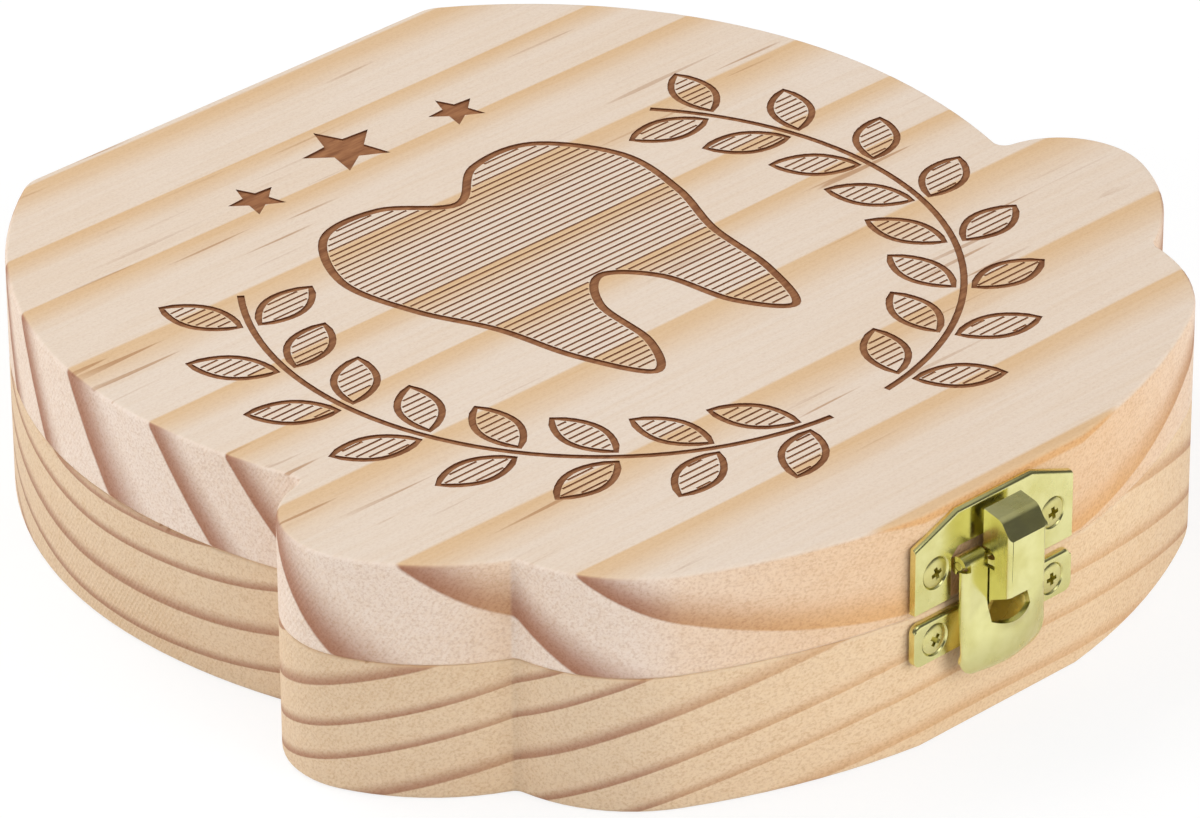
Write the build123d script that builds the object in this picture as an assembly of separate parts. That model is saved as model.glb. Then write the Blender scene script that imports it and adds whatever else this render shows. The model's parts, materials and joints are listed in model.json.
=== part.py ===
"""Wooden keepsake box for milk teeth: a thick lid and base cut to one outline, two brass butt hinges
at the flat back and a brass toggle latch at the front. Millimetres, +Z up.
The origin lies on the bottom face, on the outline's line of symmetry. The latch faces -Y."""

import os
from math import cos, radians, sin, sqrt

from build123d import *

# Box outline, seen from above
crown_radius = 56.0          # the large round of the back half
crown_centre_y = 12.7
side_radius = 67.0           # the flatter side below the widest point
back_width = 60.2            # the flat at the back that carries the hinges
back_corner_radius = 4.0
ear_inset = 19.4             # from the widest point in to the centre of the lobe's lower arc
ear_drop = 25.5              # from the crown's centre down to that centre
ear_radius = 26.3
ear_tip_radius = 9.7
ear_tip_angle = -23.5        # degrees, the direction in which the two lobe arcs meet
cheek_centre_x = 29.0
cheek_radius = 18.9
chin_depth = 60.6            # from the origin to the foremost point of the front arc
chin_radius = 80.0
inner_corner_radius = 1.2    # at the four re-entrant corners

# Board heights
base_height = 16.0
lid_height = 12.0

# Tooth pits and the hair well
pits_per_arch = 10
pit_diameter = 10.4
pit_depth = 10.0
pit_edge_wall = 8.3          # wood between a pit and the widest point of the side
pit_ring_depth = 44.0        # half length of the ring of pits, front to back
pit_ring_centre_y = 1.0
pit_pitch = 17.4             # degrees between neighbours in an arch
hair_well_length = 44.0
hair_well_width = 26.0
hair_well_depth = 10.0
hair_well_corner = 8.0

# Fits
running_gap = 0.05           # radial, between a pin and its eye and round a screw
eye_side_gap = 0.15          # between neighbouring hinge knuckles
overrun = 2.0                # how far a cutting solid runs past what it cuts

# Butt hinges
hinge_place_share = 0.3      # each hinge's distance from the middle, over the back's width
leaf_width = 16.0
leaf_height = 8.4
leaf_thickness = 0.6
leaf_corner = 0.8
hinge_barrel_radius = 1.4
hinge_pin_radius = 0.6
hinge_wall_gap = 0.2         # between the barrel and the wood
knuckle_share = 0.36         # the lid's middle knuckle, over the leaf's width
hinge_screw_spacing = 9.6
hinge_screw_place = 5.2      # from the hinge's axis to the screws
hinge_screw_head_radius = 1.5
hinge_screw_head_height = 0.5
hinge_screw_shank_radius = 0.85
hinge_screw_length = 7.0     # from the leaf's outer face to the tip

# Screw shanks, plain prisms in place of threads
shank_sides = 6

# Latch plates
latch_x = -2.1               # the latch stands this far off the line of symmetry
plate_thickness = 0.8
plate_side_rim = 1.15        # from a screw's seat out to the plate's side
plate_notch_rim = 0.35       # from the catch plate's notch out to a screw's seat
catch_bottom = 1.0           # heights here and below are measured from the seam
catch_side_top = 8.8
catch_top = 11.2
catch_top_width = 11.2
catch_notch_gap = 0.3        # at each side of the lever
catch_notch_top = 6.9
catch_notch_corner = 1.0
strike_width = 3.2
strike_reach = 1.5           # how far the strike stands off the catch plate, under the hook
strike_foot = 7.1
strike_tip = 9.0
strike_top = 9.6
base_plate_top = -0.4
base_plate_bottom = -5.4
base_plate_corner = 1.0
tongue_width = 3.0
tongue_offset = 0.2          # between the tongue and the wood behind it
link_pocket_width = 8.6      # cut-outs of the base plate behind the hook's pivot
link_pocket_depth = 1.9
catch_screw_z = 5.0
base_screw_z = -3.0
plate_screw_head_radius = 1.85
plate_screw_shank_radius = 1.1
plate_screw_length = 8.0

# Latch lever and its main pivot
main_pin_radius = 0.5
main_eye_radius = 1.1
main_pivot_z = 5.0
main_pivot_out = 1.5         # from the wood's face
lever_width = 12.4
lever_sheet = 0.6
lever_window_width = 5.8
lever_window_bottom = -2.3
lever_bottom = -8.4
lever_corner = 2.2
lever_dome_radius = 18.0
lever_dome_out = 3.8         # the foremost point of the finger tab
lever_dome_z = -5.3
lever_flange_back = 1.7      # the rear edge of the side flanges, at the pivot
lever_flange_low = 2.3       # the same edge, at the bottom
lever_flange_bottom = -7.3
link_ear_radius = 0.8

# Latch hook and its pivot in the lever
link_pivot_z = -1.0
link_pivot_out = 1.7
link_pin_radius = 0.4
hook_width = 5.5
hook_sheet = 0.6
hook_out = 5.6               # the hook's front face
hook_front_bottom = 1.4
hook_knee_z = 8.0
hook_roof_out = 4.2
hook_roof_z = 10.1
hook_rear_out = 1.75
hook_rear_z = 10.6
hook_leg_front = 3.0
hook_leg_z = 0.2
hook_leg_radius = 0.75
hook_bend_radius = 0.5
hook_notch_bottom = 3.9
hook_notch_top = 6.2
hook_notch_out = 3.4
hook_notch_shoulder = 0.7

# Worked out from the sizes above
seam_z = base_height
crown_centre = Vector(0, crown_centre_y)
side_centre = Vector(crown_radius - side_radius, crown_centre_y)
widest = Vector(crown_radius, crown_centre_y)
ear_centre = Vector(crown_radius - ear_inset, crown_centre_y - ear_drop)
chin_centre = Vector(0, chin_radius - chin_depth)
cheek_reach = chin_radius - cheek_radius
cheek_centre = Vector(cheek_centre_x, chin_centre.Y - sqrt(cheek_reach**2 - cheek_centre_x**2))
back_y = crown_centre_y + sqrt(crown_radius**2 - (back_width / 2) ** 2)
catch_notch_half = lever_width / 2 + catch_notch_gap
plate_screw_seat_radius = plate_screw_head_radius + running_gap
plate_screw_x = catch_notch_half + plate_notch_rim + plate_screw_seat_radius
plate_half = plate_screw_x + plate_screw_seat_radius + plate_side_rim
front_y = chin_centre.Y - sqrt(chin_radius**2 - plate_half**2)
hinge_y = back_y + hinge_wall_gap + hinge_barrel_radius
hinge_x = back_width * hinge_place_share


def on_circle(centre, radius, angle):
    """The point of a circle in the direction of angle, in degrees."""
    return Vector(centre.X + radius * cos(radians(angle)), centre.Y + radius * sin(radians(angle)))


def crossing(centre_a, radius_a, centre_b, radius_b):
    """The crossing of two circles that lies to the right, seen along the way from a to b."""
    apart = (centre_b - centre_a).length
    along = (radius_a**2 - radius_b**2 + apart**2) / (2 * apart)
    aside = sqrt(radius_a**2 - along**2)
    way = (centre_b - centre_a) / apart
    return centre_a + way * along + Vector(way.Y, -way.X) * aside


def arc_about(centre, start, end):
    """The shorter arc from start to end about centre."""
    radius = (start - centre).length
    middle = ((start + end) * 0.5 - centre).normalized()
    return ThreePointArc(start, centre + middle * radius, end)


def outline():
    """The box's outline: the right half from front to back, and its mirror image."""
    chin_start = Vector(plate_half, front_y)
    chin_end = chin_centre + (cheek_centre - chin_centre).normalized() * chin_radius
    cheek_end = crossing(cheek_centre, cheek_radius, ear_centre, ear_radius)
    tip_centre = on_circle(ear_centre, ear_radius - ear_tip_radius, ear_tip_angle)
    ear_end = on_circle(ear_centre, ear_radius, ear_tip_angle)
    tip_end = crossing(tip_centre, ear_tip_radius, side_centre, side_radius)
    back_corner = Vector(back_width / 2, back_y)
    half = Curve() + [
        Line(Vector(0, front_y), chin_start),
        arc_about(chin_centre, chin_start, chin_end),
        arc_about(cheek_centre, chin_end, cheek_end),
        arc_about(ear_centre, cheek_end, ear_end),
        arc_about(tip_centre, ear_end, tip_end),
        arc_about(side_centre, tip_end, widest),
        arc_about(crown_centre, widest, back_corner),
        Line(back_corner, Vector(0, back_y)),
    ]
    face = make_face(half + mirror(half, Plane.YZ))
    for corner, radius in (
        (cheek_end, inner_corner_radius),
        (tip_end, inner_corner_radius),
        (back_corner, back_corner_radius),
    ):
        for side in (1, -1):
            place = Vector(side * corner.X, corner.Y)
            face = fillet(face.vertices().sort_by_distance(place)[0], radius)
    return face


box_outline = outline()


def shank(radius, length):
    """A screw's threaded shank along -Z, as a plain prism."""
    return extrude(RegularPolygon(radius, shank_sides), -length)


def hinge_screw():
    """A flat-headed screw along -Z that holds a leaf. Z=0 is the leaf's outer face."""
    head = extrude(Circle(hinge_screw_head_radius), hinge_screw_head_height)
    return head + shank(hinge_screw_shank_radius, hinge_screw_length)


def hinge_screw_hole():
    """The hole of a leaf's screw, through the leaf and into the wood."""
    through = extrude(Circle(hinge_screw_shank_radius + running_gap), -leaf_thickness)
    return through + shank(hinge_screw_shank_radius + running_gap, hinge_screw_length + running_gap)


def plate_screw(gap=0.0):
    """A countersunk screw along -Z with its top in the plane z=0, or its hole with gap."""
    head_radius = plate_screw_head_radius + gap
    shank_radius = plate_screw_shank_radius + gap
    below = (Align.CENTER, Align.CENTER, Align.MAX)
    screw = Cone(shank_radius, head_radius, plate_thickness, align=below)
    screw += shank(shank_radius, plate_screw_length + gap)
    if gap:
        screw += extrude(Circle(head_radius), overrun)
    return screw


def hinge_screw_places(side, up):
    """Places of a leaf's two screws, with +Z out of the back. up is 1 on the lid, -1 on the base."""
    out = Rotation(-90, 0, 0)
    rim_y = back_y + leaf_thickness
    height = seam_z + up * hinge_screw_place
    return [
        Pos(side * hinge_x + end * hinge_screw_spacing / 2, rim_y, height) * out for end in (-1, 1)
    ]


def plate_screw_places(height):
    """Places of a latch plate's two screws, with +Z out of the front."""
    out = Rotation(90, 0, 0)
    rim_y = front_y - plate_thickness
    return [Pos(latch_x + end * plate_screw_x, rim_y, seam_z + height) * out for end in (-1, 1)]


catch_screw_places = plate_screw_places(catch_screw_z)
base_screw_places = plate_screw_places(base_screw_z)


def pit_centres():
    """The pits lie in two arches on one ellipse, the upper arch to the back."""
    half_x = crown_radius - pit_edge_wall - pit_diameter / 2
    centres = []
    for arch in (90, -90):
        for count in range(pits_per_arch):
            angle = radians(arch + (count - (pits_per_arch - 1) / 2) * pit_pitch)
            centres.append((half_x * cos(angle), pit_ring_centre_y + pit_ring_depth * sin(angle)))
    return centres


def base_block():
    """The base: tooth pits in two arches round the hair well, and pilot holes for the screws."""
    block = extrude(box_outline, base_height)
    pit = Cylinder(pit_diameter / 2, pit_depth, align=(Align.CENTER, Align.CENTER, Align.MAX))
    block -= [Pos(x, y, base_height) * pit for x, y in pit_centres()]
    well_mouth = RectangleRounded(hair_well_length, hair_well_width, hair_well_corner)
    block -= extrude(Pos(0, pit_ring_centre_y, base_height) * well_mouth, -hair_well_depth)
    for side in (-1, 1):
        block -= [place * hinge_screw_hole() for place in hinge_screw_places(side, -1)]
    return block - [place * plate_screw(running_gap) for place in base_screw_places]


def lid_board():
    """The lid: one thick board with a flat underside."""
    block = extrude(Pos(0, 0, seam_z) * box_outline, lid_height)
    for side in (-1, 1):
        block -= [place * hinge_screw_hole() for place in hinge_screw_places(side, 1)]
    return block - [place * plate_screw(running_gap) for place in catch_screw_places]


def rod(radius, x_from, x_to, y, z):
    """A cylinder along X."""
    length = x_to - x_from
    return Pos((x_from + x_to) / 2, y, z) * Rotation(0, 90, 0) * Cylinder(radius, length)


def slab(x_from, x_to, y_from, y_to, z_from, z_to):
    """A box between two corners."""
    centre = Pos((x_from + x_to) / 2, (y_from + y_to) / 2, (z_from + z_to) / 2)
    return centre * Box(x_to - x_from, y_to - y_from, z_to - z_from)


def hinge_leaf(side, up):
    """A leaf with its knuckles. up is 1 on the lid, with one knuckle, -1 on the base, with two."""
    middle = side * hinge_x
    half = leaf_width / 2
    knuckle_half = leaf_width * knuckle_share / 2
    front = back_y + leaf_thickness
    plate = RectangleRounded(leaf_width, 2 * leaf_height, leaf_corner)
    leaf = extrude(Plane.XZ * plate, -leaf_thickness)
    leaf = Pos(middle, back_y, seam_z) * leaf
    if up > 0:
        spans = [(middle - knuckle_half, middle + knuckle_half)]
        free = [
            (middle - half - overrun, middle - knuckle_half),
            (middle + knuckle_half, middle + half + overrun),
        ]
    else:
        gap = knuckle_half + eye_side_gap
        spans = [(middle - half, middle - gap), (middle + gap, middle + half)]
        free = [(middle - gap, middle + gap)]
    edge = hinge_barrel_radius + eye_side_gap
    y_from, y_to = back_y - overrun, front + overrun
    far = seam_z - up * (leaf_height + overrun)
    leaf -= slab(middle - leaf_width, middle + leaf_width, y_from, y_to, *sorted((seam_z, far)))
    near = seam_z + up * edge
    for x_from, x_to in free:
        leaf -= slab(x_from, x_to, y_from, y_to, *sorted((seam_z - up * overrun, near)))
    for x_from, x_to in spans:
        leaf += rod(hinge_barrel_radius, x_from, x_to, hinge_y, seam_z)
    eye_radius = hinge_pin_radius + running_gap
    leaf -= rod(eye_radius, middle - leaf_width, middle + leaf_width, hinge_y, seam_z)
    return leaf - [place * hinge_screw_hole() for place in hinge_screw_places(side, up)]


def hinge_pin(side):
    """The pin, flush with the outer knuckles."""
    middle = side * hinge_x
    half = leaf_width / 2
    return rod(hinge_pin_radius, middle - half, middle + half, hinge_y, seam_z)


def side_profile(points, x_from, x_to):
    """Extrudes an outline of (distance from the wood, height over the seam) from x_from to x_to."""
    corners = [(front_y - out, seam_z + up) for out, up in points]
    face = Plane.YZ * make_face(Polyline(*corners, close=True))
    return Pos(latch_x + x_from, 0, 0) * extrude(face, x_to - x_from)


def latch_rod(radius, x_from, x_to, out, up):
    """A cylinder along X in the latch's own measures."""
    return rod(radius, latch_x + x_from, latch_x + x_to, front_y - out, seam_z + up)


def front_plate(points):
    """A flat plate on the front from an outline of (x from the latch's middle, height)."""
    corners = [(latch_x + x, seam_z + up) for x, up in points]
    face = Plane.XZ * make_face(Polyline(*corners, close=True))
    return Pos(0, front_y, 0) * extrude(face, plate_thickness)


def catch_plate():
    """The lid's plate: cut corners, a notch from below and the strike that the hook goes over."""
    corner = catch_notch_corner
    right = [
        (catch_notch_half - corner, catch_notch_top),
        (catch_notch_half, catch_notch_top - corner),
        (catch_notch_half, catch_bottom),
        (plate_half, catch_bottom),
        (plate_half, catch_side_top),
        (catch_top_width / 2, catch_top),
    ]
    plate = front_plate(right + [(-x, up) for x, up in reversed(right)])
    face = plate_thickness
    strike = [
        (face, strike_foot),
        (face + strike_reach, strike_tip),
        (face + strike_reach, strike_top),
        (face, strike_top),
    ]
    plate += side_profile(strike, -strike_width / 2, strike_width / 2)
    return plate - [place * plate_screw(running_gap) for place in catch_screw_places]


def latch_base_plate():
    """The base's plate, with a tongue that rises to the eye of the main pivot."""
    plate = front_plate(
        [
            (-plate_half, base_plate_bottom),
            (plate_half, base_plate_bottom),
            (plate_half, base_plate_top),
            (-plate_half, base_plate_top),
        ]
    )
    plate = fillet(plate.edges().filter_by(Axis.Y), base_plate_corner)
    pocket_floor = base_plate_top - link_pocket_depth
    pocket = [
        (-overrun, pocket_floor),
        (plate_thickness + overrun, pocket_floor),
        (plate_thickness + overrun, base_plate_top + overrun),
        (-overrun, base_plate_top + overrun),
    ]
    plate -= side_profile(pocket, -link_pocket_width / 2, link_pocket_width / 2)
    tongue = [
        (tongue_offset, pocket_floor - plate_thickness),
        (plate_thickness, pocket_floor - plate_thickness),
        (plate_thickness, main_pivot_z),
        (tongue_offset, main_pivot_z),
    ]
    half_tongue = tongue_width / 2
    plate += side_profile(tongue, -half_tongue, half_tongue)
    plate += latch_rod(main_eye_radius, -half_tongue, half_tongue, main_pivot_out, main_pivot_z)
    bore = main_pin_radius + running_gap
    plate -= latch_rod(bore, -tongue_width, tongue_width, main_pivot_out, main_pivot_z)
    return plate - [place * plate_screw(running_gap) for place in base_screw_places]


def main_pin():
    """The pin through the lever's eyes and the tongue's."""
    half = lever_width / 2
    return latch_rod(main_pin_radius, -half, half, main_pivot_out, main_pivot_z)


def latch_lever():
    """The lever: a domed finger tab under a window, two arms rolled round the main pin, side
    flanges, and two ears behind the window that carry the hook."""
    half = lever_width / 2
    window = lever_window_width / 2
    arm_front = main_pivot_out + main_eye_radius
    arm_back = arm_front - lever_sheet
    arm_end = lever_window_bottom - lever_sheet
    arm = [
        (arm_back, main_pivot_z),
        (arm_front, main_pivot_z),
        (arm_front, arm_end),
        (arm_back, arm_end),
    ]
    flange = [
        (lever_flange_back, main_pivot_z),
        (arm_front, main_pivot_z),
        (arm_front, arm_end),
        (arm_front + lever_sheet / 2, lever_flange_bottom),
        (lever_flange_low, lever_flange_bottom),
        (lever_flange_back, link_pivot_z),
    ]
    ear = [
        (link_pivot_out, link_pivot_z - link_ear_radius),
        (arm_back, link_pivot_z - link_ear_radius),
        (arm_back, link_pivot_z + link_ear_radius),
        (link_pivot_out, link_pivot_z + link_ear_radius),
    ]
    centre = Pos(latch_x, front_y - lever_dome_out + lever_dome_radius, seam_z + lever_dome_z)
    dome = centre * (Sphere(lever_dome_radius) - Sphere(lever_dome_radius - lever_sheet))
    tab_height = lever_window_bottom - lever_bottom + lever_corner
    tab = RectangleRounded(lever_width, tab_height, lever_corner, align=(Align.CENTER, Align.MIN))
    tab = Pos(latch_x, front_y, seam_z + lever_bottom) * extrude(Plane.XZ * tab, 2 * lever_dome_out)
    top = seam_z + lever_window_bottom
    tab -= slab(
        latch_x - lever_width,
        latch_x + lever_width,
        front_y - 3 * lever_dome_out,
        front_y + overrun,
        top,
        top + 2 * lever_corner,
    )
    lever = dome & tab
    for side in (-1, 1):
        arm_span = sorted((side * window, side * half))
        lever += side_profile(arm, *arm_span)
        lever += latch_rod(main_eye_radius, *arm_span, main_pivot_out, main_pivot_z)
        lever += side_profile(flange, *sorted((side * (half - lever_sheet), side * half)))
        ear_span = sorted((side * window, side * (window + lever_sheet)))
        lever += side_profile(ear, *ear_span)
        lever += latch_rod(link_ear_radius, *ear_span, link_pivot_out, link_pivot_z)
    lever -= latch_rod(
        main_pin_radius + running_gap, -lever_width, lever_width, main_pivot_out, main_pivot_z
    )
    ear_end = window + lever_sheet
    return lever - latch_rod(
        link_pin_radius + running_gap, -ear_end, ear_end, link_pivot_out, link_pivot_z
    )


def latch_hook():
    """The hook: a channel with a roof bent back over the strike, notched for the main pin."""
    half = hook_width / 2
    inner = half - hook_sheet
    body = [
        (hook_rear_out, hook_rear_z),
        (hook_roof_out, hook_roof_z),
        (hook_out, hook_knee_z),
        (hook_out, hook_front_bottom),
        (hook_leg_front, hook_leg_z),
        (link_pivot_out + hook_leg_radius, link_pivot_z),
        (link_pivot_out - hook_leg_radius, link_pivot_z),
        (hook_rear_out - hook_sheet, hook_leg_z),
        (hook_rear_out, hook_front_bottom),
    ]
    hook = side_profile(body, -half, half)
    front_edges = hook.edges().filter_by(Axis.Z).group_by(Axis.Y)[0]
    hook = fillet(front_edges, hook_bend_radius)
    hollow = [
        (hook_rear_out - overrun, hook_rear_z - hook_sheet),
        (hook_rear_out, hook_rear_z - hook_sheet),
        (hook_roof_out - hook_sheet / 2, hook_roof_z - hook_sheet),
        (hook_out - hook_sheet, hook_knee_z - hook_sheet / 2),
        (hook_out - hook_sheet, link_pivot_z - overrun),
        (hook_rear_out - overrun, link_pivot_z - overrun),
    ]
    hook += latch_rod(hook_leg_radius, -half, half, link_pivot_out, link_pivot_z)
    hook -= side_profile(hollow, -inner, inner)
    notch = [
        (hook_rear_out - overrun, hook_notch_bottom),
        (hook_notch_out, hook_notch_bottom),
        (hook_notch_out, hook_notch_top - hook_notch_shoulder),
        (hook_notch_out - hook_notch_shoulder, hook_notch_top),
        (hook_rear_out - overrun, hook_notch_top),
    ]
    hook -= side_profile(notch, -hook_width, hook_width)
    bore = link_pin_radius + running_gap
    return hook - latch_rod(bore, -hook_width, hook_width, link_pivot_out, link_pivot_z)


def hook_rivets():
    """Two short rivets that join the hook's legs to the lever's ears."""
    inner = hook_width / 2 - hook_sheet - running_gap
    outer = lever_window_width / 2 + lever_sheet
    rivets = []
    for side in (-1, 1):
        span = sorted((side * inner, side * outer))
        rivets.append(latch_rod(link_pin_radius, *span, link_pivot_out, link_pivot_z))
    return Compound(children=rivets)


nodes = {
    "base_block": base_block(),
    "lid_board": lid_board(),
    "latch_catch_plate": catch_plate(),
    "latch_catch_screws": Compound(children=[place * plate_screw() for place in catch_screw_places]),
    "latch_base_plate": latch_base_plate(),
    "latch_base_screws": Compound(children=[place * plate_screw() for place in base_screw_places]),
    "latch_lever": latch_lever(),
    "latch_main_pin": main_pin(),
    "latch_hook": latch_hook(),
    "latch_hook_rivets": hook_rivets(),
}
for name, side in (("left", -1), ("right", 1)):
    nodes[f"hinge_{name}_pin"] = hinge_pin(side)
    for part, up in (("base", -1), ("lid", 1)):
        nodes[f"hinge_{name}_{part}_leaf"] = hinge_leaf(side, up)
        screws = [place * hinge_screw() for place in hinge_screw_places(side, up)]
        nodes[f"hinge_{name}_{part}_screws"] = Compound(children=screws)

os.makedirs("parts", exist_ok=True)
for name, shape in nodes.items():
    export_step(shape, f"parts/{name}.step")
    print(name, len(shape.solids()), "solids, volume", round(shape.volume, 1))
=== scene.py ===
"""Looks of the wooden keepsake box: sanded pine with burnt linework on the lid, and brass-plated
hinges, screws and toggle latch. Metres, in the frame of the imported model."""

import json
from math import cos, pi, radians, sin

import bmesh
import bpy
from mathutils import Matrix, Vector

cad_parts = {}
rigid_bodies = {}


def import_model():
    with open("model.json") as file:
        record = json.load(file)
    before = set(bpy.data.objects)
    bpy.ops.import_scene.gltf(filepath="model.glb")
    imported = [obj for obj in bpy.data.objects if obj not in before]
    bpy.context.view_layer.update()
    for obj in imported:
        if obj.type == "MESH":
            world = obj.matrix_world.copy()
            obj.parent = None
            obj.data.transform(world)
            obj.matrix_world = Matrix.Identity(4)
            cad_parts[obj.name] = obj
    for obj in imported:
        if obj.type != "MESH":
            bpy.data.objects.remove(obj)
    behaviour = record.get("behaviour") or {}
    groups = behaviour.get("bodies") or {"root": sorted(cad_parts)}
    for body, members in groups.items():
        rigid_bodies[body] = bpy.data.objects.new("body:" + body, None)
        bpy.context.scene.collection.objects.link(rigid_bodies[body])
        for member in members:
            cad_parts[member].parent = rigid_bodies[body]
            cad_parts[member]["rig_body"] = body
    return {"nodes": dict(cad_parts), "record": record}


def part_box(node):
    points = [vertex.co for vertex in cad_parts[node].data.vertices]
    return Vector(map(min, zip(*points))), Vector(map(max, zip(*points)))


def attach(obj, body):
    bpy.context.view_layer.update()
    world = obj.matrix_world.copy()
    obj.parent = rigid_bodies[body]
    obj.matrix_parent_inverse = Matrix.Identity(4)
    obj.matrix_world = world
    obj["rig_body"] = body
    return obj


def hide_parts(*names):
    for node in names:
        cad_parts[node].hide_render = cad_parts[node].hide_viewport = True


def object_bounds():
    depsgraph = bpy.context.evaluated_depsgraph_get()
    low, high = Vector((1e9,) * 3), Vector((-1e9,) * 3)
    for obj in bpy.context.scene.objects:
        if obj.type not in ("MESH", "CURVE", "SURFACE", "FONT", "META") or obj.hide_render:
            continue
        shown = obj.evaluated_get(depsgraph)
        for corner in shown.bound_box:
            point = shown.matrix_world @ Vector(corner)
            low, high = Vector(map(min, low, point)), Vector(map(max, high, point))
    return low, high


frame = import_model()
cad_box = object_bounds()
nodes = frame["nodes"]
body_of_node = {n: o["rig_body"] for n, o in nodes.items()}
slot_of_node = {s["node"]: s["material_slot"] for s in frame["record"]["subparts"]}

mm = 0.001

# Camera, solved from the photograph
image_width = 1200
image_height = 818
focal_length_px = 8186
frame_origin_px = (603.1, 499.8)
camera_azimuth = radians(-43.90)
camera_elevation = radians(29.73)
camera_roll = radians(-0.32)
camera_distance = 896 * mm
sensor_width_mm = 36
camera_reach = 10

# Light. A lamp is its name, place, size, power in watts, and whether metal mirrors it. The sky's
# strength is plain, or as metal mirrors it at the horizon, over it and at the top.
lamps = (
    ("key", (-0.1, 0.5, 0.7), 0.5, 2.65, True),
    ("left", (-0.85, 0.4, 0.3), 0.5, 3.6, False),
    ("front", (0.25, -0.85, 0.3), 0.7, 5.0, False),
    ("high front", (-0.06, -0.62, 0.67), 0.36, 0.5, True),
)
lamp_target = (0, 0, 0.015)
sky_light = 0.43
mirrored_horizon = 0.8
mirrored_sky = 0.1
mirrored_zenith = 0.35

# Floor. The glow's share in its look is less where metal mirrors it, least near the origin. Near the
# box this paints shade into the floor's reflection, beside the real shadow that then shows.
floor_size = 3.0
floor_drop = 0.05 * mm
floor_grey = 0.86
floor_glow = 1.09
floor_glow_share = 0.72
mirrored_near = 68 * mm
mirrored_far = 92 * mm
mirrored_near_painted_shade = -0.55
mirrored_far_change = -0.16

# Pine. Scales are in features per metre along X, Y and Z.
ring_drift_scale = (9, 22, 22)
ring_beat = 3.3
ring_beat_share = 0.12
ring_edge_share = 0.975
fibre_scale = (60, 1400, 1400)
speckle_scale = (2200, 3600, 3600)
cloud_scale = (14, 40, 40)
pore_scale = (45, 1000, 1000)
pore_patch_scale = (30, 90, 90)
grain_height = 0.09 * mm
wall_radius = 52 * mm
mill_pitch = 0.5 * mm
mill_slant = -0.55
mill_height = 0.018 * mm

# Burnt wood and brass
char_scale = (250, 1500, 1500)
char_height = 0.08 * mm
haze_scale = (260, 260, 260)
pit_scale = (3800, 3800, 3800)
wear_height = 0.05 * mm

# Burnt linework on the lid
groove_depth = 0.2 * mm
hatch_depth = 0.08 * mm
line_width = 1.0 * mm
fine_line_width = 0.8 * mm
hatch_width = 0.3 * mm
hatch_pitch = 0.95 * mm
hatch_margin = 0.12 * mm

# Edges
board_bevel = 0.5 * mm
sheet_bevel = 0.16 * mm
plate_rim = 0.5 * mm
pin_bevel = 0.07 * mm
sharp_angle = radians(36)
flat_angle = radians(0.5)
tiny = 0.001 * mm

# Latch lever and hook. Distances are from the wood, heights from the seam.
plate_thickness = 0.8 * mm
lever_thickness = 0.55 * mm
lever_arm_out = 2.6 * mm
lever_side_bend = 0.8 * mm
lever_corner = 2.2 * mm
lever_window_half = 2.9 * mm
lever_window_up = -2.3 * mm
lever_window_sag = 0.7 * mm
lever_lip = 0.3 * mm
lever_lip_reach = 0.9 * mm
lever_curl = 0.45 * mm
lever_curl_reach = 1.5 * mm
lever_dome_radius = 13 * mm
lever_dome_out = 3.8 * mm
lever_dome_up = -4.4 * mm
lever_back_high = 1.7 * mm
lever_back_low = 2.3 * mm
lever_back_bottom = -7.3 * mm
lever_flange_up = 4.4 * mm
lever_flange_rise_share = 0.4
lever_swell_top = 0.5 * mm
lever_swell_softness = 0.12 * mm
lever_roll_turn = radians(255)
lever_row_crowding = 1.4
pivot_out = 1.5 * mm
pivot_up = 5.0 * mm
eye_radius = 1.1 * mm
ear_out = 1.7 * mm
ear_up = -1.0 * mm
ear_radius = 0.8 * mm
ear_thickness = 0.6 * mm
ear_gap = 0.02 * mm
hook_fold_out = 4.2 * mm
hook_fold_up = 10.1 * mm
hook_bend_width = 0.5 * mm

# Screws. The latch's sit in dished seats, the hinges' heads stand on the leaves. Shares are of the
# head's radius, but for the rim's, which is of the raised head's height, and the cross's, which are
# of the recess. A turn is the first pair's and its step from pair to pair, in radians.
sunk_head_share = 0.93
sunk_depth = 0.15 * mm
sunk_cone_share = 0.45
sunk_shank_share = 0.55
raised_head_height = 0.5 * mm
raised_rim_share = 0.6
raised_shank_share = 0.57
screw_tip_share = 0.4
screw_dome_share = 0.16
recess_share = 0.5
cross_top_half_width = 0.31
cross_foot_reach = 0.45
cross_foot_half_width = 0.24
screw_turns = ((0.5, 0.9), (1.1, 1.7))


def link_node(tree, kind, inputs=None, **settings):
    """Adds a node. An input is a value or another node's output socket."""
    made = tree.nodes.new(kind)
    for name, value in settings.items():
        setattr(made, name, value)
    for name, value in (inputs or {}).items():
        if isinstance(value, bpy.types.NodeSocket):
            tree.links.new(value, made.inputs[name])
        else:
            made.inputs[name].default_value = value
    return made


def calc(tree, operation, *values, clamp=False):
    """A Math node's result."""
    inputs = dict(enumerate(values))
    return link_node(tree, "ShaderNodeMath", inputs, operation=operation, use_clamp=clamp).outputs[0]


def fit(tree, value, low, high, to_low=0.0, to_high=1.0, smooth=False):
    """A Map Range node's result, held within its limits."""
    kind = "SMOOTHSTEP" if smooth else "LINEAR"
    inputs = {"Value": value, "From Min": low, "From Max": high, "To Min": to_low, "To Max": to_high}
    return link_node(tree, "ShaderNodeMapRange", inputs, interpolation_type=kind).outputs["Result"]


def mix(tree, share, a, b, blend="MIX"):
    """A colour between a and b."""
    made = link_node(tree, "ShaderNodeMix", data_type="RGBA", blend_type=blend)
    for place, value in ((0, share), (6, a), (7, b)):
        if isinstance(value, bpy.types.NodeSocket):
            tree.links.new(value, made.inputs[place])
        else:
            made.inputs[place].default_value = value
    return made.outputs[2]


def scaled(tree, point, scale):
    """point with each axis multiplied, as features per metre."""
    inputs = {0: point, 1: scale}
    return link_node(tree, "ShaderNodeVectorMath", inputs, operation="MULTIPLY").outputs[0]


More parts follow.
